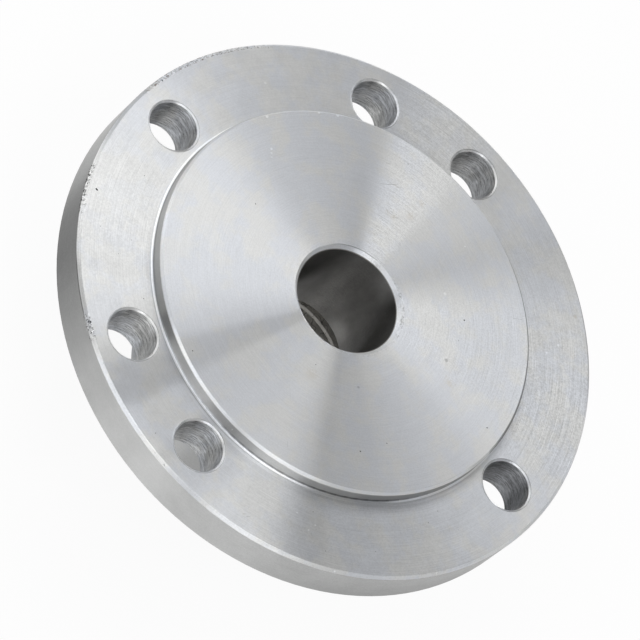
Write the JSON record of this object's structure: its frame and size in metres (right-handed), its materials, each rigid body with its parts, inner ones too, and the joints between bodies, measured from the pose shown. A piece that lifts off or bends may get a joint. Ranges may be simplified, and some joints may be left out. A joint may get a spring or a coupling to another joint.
{
  "type": "lathe faceplate",
  "caption": "Turned steel lathe faceplate with a threaded spindle hub behind, clearance holes for chuck screws and a low centring register around a plain bore.",
  "frame": {"origin": "centre of the hub's rear face, which seats on the spindle's shoulder", "axes": "+Z along the spindle axis, out through the register; +X through one bolt hole that both the three-screw and the four-screw circle share"},
  "size_m": [0.1, 0.1, 0.039],
  "materials": {
    "turned_steel": "bare steel, finely turned in rings, unpainted, with small nicks and light stains"
  },
  "bodies": {
    "root": {"faceplate": "turned_steel"}
  },
  "joints": []
}
